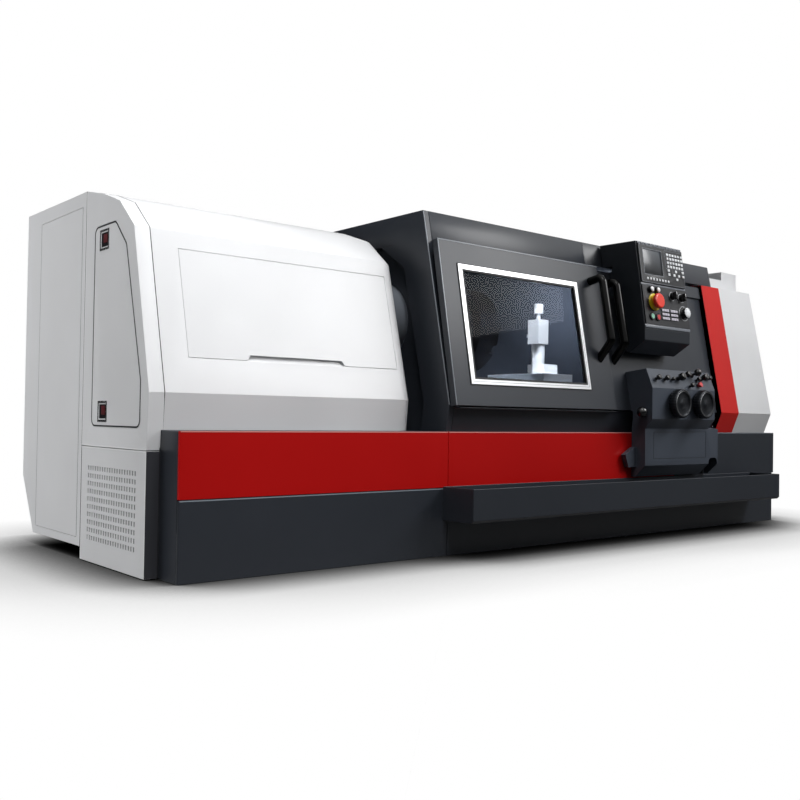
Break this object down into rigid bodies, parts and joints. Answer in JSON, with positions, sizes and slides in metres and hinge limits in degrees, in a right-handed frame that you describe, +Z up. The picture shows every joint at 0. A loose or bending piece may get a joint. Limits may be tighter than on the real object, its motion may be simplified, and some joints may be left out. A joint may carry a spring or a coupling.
{
  "type": "cnc turning lathe",
  "caption": "Enclosed flat-bed CNC turning lathe with headstock cover, sliding doors, travelling control station, turret, chuck and tailstock.",
  "frame": {"origin": "middle of the bounding box footprint, on the floor", "axes": "+X along the machine from headstock to tailstock, +Y from the operator's side to the rear, +Z up"},
  "size_m": [5.028, 2.066, 1.911],
  "materials": {
    "dark_paint": "satin",
    "red_paint": "satin",
    "light_paint": "satin",
    "bright_frame": "satin",
    "pane": "clear",
    "black_gloss": "gloss",
    "panel_black": "matte",
    "stop_red": "gloss",
    "start_green": "gloss",
    "cast": "matte",
    "machined": "brushed",
    "gear_plastic": "matte"
  },
  "bodies": {
    "machine": {"base_frame": "dark_paint", "base_cover_left": "dark_paint", "base_cover_right": "dark_paint", "red_panel_left": "red_paint", "red_panel_right": "red_paint", "chip_tray": "dark_paint", "end_frame": "light_paint", "vent_panel": "light_paint", "cover_main": "light_paint", "rear_cabinet": "light_paint", "cabinet_gear": "gear_plastic", "wall_left": "dark_paint", "header": "dark_paint", "enclosure_back": "dark_paint", "sill": "dark_paint", "wall_right": "dark_paint", "stripe_cover": "red_paint", "right_cover": "light_paint", "step_box": "light_paint", "headstock": "cast", "bed": "cast"},
    "service_door": {"end_door": "light_paint"},
    "upper_latch": {"latch_upper": "panel_black"},
    "lower_latch": {"latch_lower": "panel_black"},
    "top_hatch": {"hatch": "light_paint"},
    "cabinet_end_door": {"cabinet_door": "light_paint"},
    "left_door": {"door_left": "dark_paint", "window_frame": "bright_frame", "window_glass": "pane", "handle_left": "black_gloss"},
    "station": {"door_right": "dark_paint", "handle_right": "black_gloss", "pendant": "dark_paint", "lcd_unit": "panel_black", "operator_panel": "panel_black", "apron": "dark_paint", "selector_knobs": "black_gloss"},
    "stop_mushroom": {"estop": "stop_red"},
    "start_key": {"button_start": "start_green"},
    "stop_key": {"button_stop": "stop_red"},
    "selector_left": {"knob_left": "black_gloss"},
    "selector_right": {"knob_right": "black_gloss"},
    "override_dial": {"feed_dial": "black_gloss"},
    "wheel_left": {"handwheel_left": "black_gloss"},
    "wheel_right": {"handwheel_right": "black_gloss"},
    "stick": {"joystick": "black_gloss"},
    "desk_button": {"apron_button": "stop_red"},
    "pump_knob": {"pull_knob": "black_gloss"},
    "spindle_unit": {"spindle": "machined", "chuck": "machined"},
    "jaw_a": {"jaw_1": "machined"},
    "jaw_b": {"jaw_2": "machined"},
    "jaw_c": {"jaw_3": "machined"},
    "carriage": {"saddle": "cast"},
    "slide": {"cross_slide": "machined"},
    "tool_turret": {"turret": "machined"},
    "tail": {"tailstock": "cast"},
    "tail_quill": {"quill": "machined"},
    "centre": {"live_centre": "machined"}
  },
  "joints": [
    {"name": "service_door_hinge", "type": "hinge", "parent": "machine", "child": "service_door", "pos_m": [-2.5132, -0.5375, 0.79], "axis": [0, 0, 1], "range_deg": [0, 110]},
    {"name": "upper_latch_hinge", "type": "hinge", "parent": "service_door", "child": "upper_latch", "pos_m": [-2.514, -0.053, 1.58], "axis": [0, 0, -1], "range_deg": [0, 30], "stiffness_Nm_per_rad": 0.05},
    {"name": "lower_latch_hinge", "type": "hinge", "parent": "service_door", "child": "lower_latch", "pos_m": [-2.514, -0.068, 0.745], "axis": [0, 0, -1], "range_deg": [0, 30], "stiffness_Nm_per_rad": 0.05},
    {"name": "hatch_hinge", "type": "hinge", "parent": "machine", "child": "top_hatch", "pos_m": [-1.684, -0.45166, 1.51578], "axis": [-1, 0, 0], "range_deg": [0, 165]},
    {"name": "cabinet_door_hinge", "type": "hinge", "parent": "machine", "child": "cabinet_end_door", "pos_m": [-2.5132, 0.8035, 0.946], "axis": [0, 0, -1], "range_deg": [0, 110]},
    {"name": "left_door_slide", "type": "slide", "parent": "machine", "child": "left_door", "axis": [-1, 0, 0], "range_m": [0, 1.15]},
    {"name": "station_slide", "type": "slide", "parent": "machine", "child": "station", "axis": [1, 0, 0], "range_m": [0, 0.48]},
    {"name": "stop_mushroom_push", "type": "slide", "parent": "station", "child": "stop_mushroom", "axis": [0, 0.9895, -0.1448], "range_m": [0, 0.006], "stiffness_N_per_m": 2500},
    {"name": "start_key_push", "type": "slide", "parent": "station", "child": "start_key", "axis": [0, 0.9895, -0.1448], "range_m": [0, 0.004], "stiffness_N_per_m": 600},
    {"name": "stop_key_push", "type": "slide", "parent": "station", "child": "stop_key", "axis": [0, 0.9895, -0.1448], "range_m": [0, 0.004], "stiffness_N_per_m": 600},
    {"name": "selector_left_turn", "type": "hinge", "parent": "station", "child": "selector_left", "pos_m": [1.03, -0.87954, 1.56549], "axis": [0, -0.9895, 0.1448], "range_deg": [-60, 60]},
    {"name": "selector_right_turn", "type": "hinge", "parent": "station", "child": "selector_right", "pos_m": [1.13, -0.88012, 1.56153], "axis": [0, -0.9895, 0.1448], "range_deg": [-60, 60]},
    {"name": "override_dial_turn", "type": "hinge", "parent": "station", "child": "override_dial", "pos_m": [1.142, -0.89518, 1.45863], "axis": [0, -0.9895, 0.1448], "range_deg": [-135, 135]},
    {"name": "wheel_left_spin", "type": "hinge", "parent": "station", "child": "wheel_left", "pos_m": [0.977, -0.958, 0.856], "axis": [0, -1, 0], "continuous": true},
    {"name": "wheel_right_spin", "type": "hinge", "parent": "station", "child": "wheel_right", "pos_m": [1.249, -0.958, 0.856], "axis": [0, -1, 0], "continuous": true},
    {"name": "stick_tilt", "type": "hinge", "parent": "station", "child": "stick", "pos_m": [1.216, -0.91911, 1.04945], "axis": [1, 0, 0], "range_deg": [-12, 12], "stiffness_Nm_per_rad": 2},
    {"name": "desk_button_push", "type": "slide", "parent": "station", "child": "desk_button", "axis": [0, 0.9274, -0.374], "range_m": [0, 0.004], "stiffness_N_per_m": 600},
    {"name": "pump_knob_pull", "type": "slide", "parent": "station", "child": "pump_knob", "axis": [-1, 0, 0], "range_m": [0, 0.03], "stiffness_N_per_m": 300},
    {"name": "spindle_spin", "type": "hinge", "parent": "machine", "child": "spindle_unit", "pos_m": [-0.248, -0.137, 1.3], "axis": [1, 0, 0], "continuous": true},
    {"name": "jaw_a_slide", "type": "slide", "parent": "spindle_unit", "child": "jaw_a", "axis": [0, 0, -1], "range_m": [-0.02, 0.035]},
    {"name": "jaw_b_slide", "type": "slide", "parent": "spindle_unit", "child": "jaw_b", "axis": [0, 0.866, 0.5], "range_m": [-0.02, 0.035]},
    {"name": "jaw_c_slide", "type": "slide", "parent": "spindle_unit", "child": "jaw_c", "axis": [0, -0.866, 0.5], "range_m": [-0.02, 0.035]},
    {"name": "carriage_slide", "type": "slide", "parent": "machine", "child": "carriage", "axis": [1, 0, 0], "range_m": [-0.2, 0.5]},
    {"name": "cross_slide_travel", "type": "slide", "parent": "carriage", "child": "slide", "axis": [0, 1, 0], "range_m": [-0.1, 0.06]},
    {"name": "turret_index", "type": "hinge", "parent": "slide", "child": "tool_turret", "pos_m": [0.354, -0.319, 1.3], "axis": [0, 0, 1], "continuous": true},
    {"name": "tailstock_slide", "type": "slide", "parent": "machine", "child": "tail", "axis": [1, 0, 0], "range_m": [-0.3, 0.1]},
    {"name": "quill_slide", "type": "slide", "parent": "tail", "child": "tail_quill", "axis": [-1, 0, 0], "range_m": [0, 0.12]},
    {"name": "centre_spin", "type": "hinge", "parent": "tail_quill", "child": "centre", "pos_m": [1.152, -0.137, 1.3], "axis": [1, 0, 0], "continuous": true}
  ],
  "couplings": [
    {"joint": "jaw_b_slide", "follows": "jaw_a_slide", "ratio": 1},
    {"joint": "jaw_c_slide", "follows": "jaw_a_slide", "ratio": 1}
  ]
}
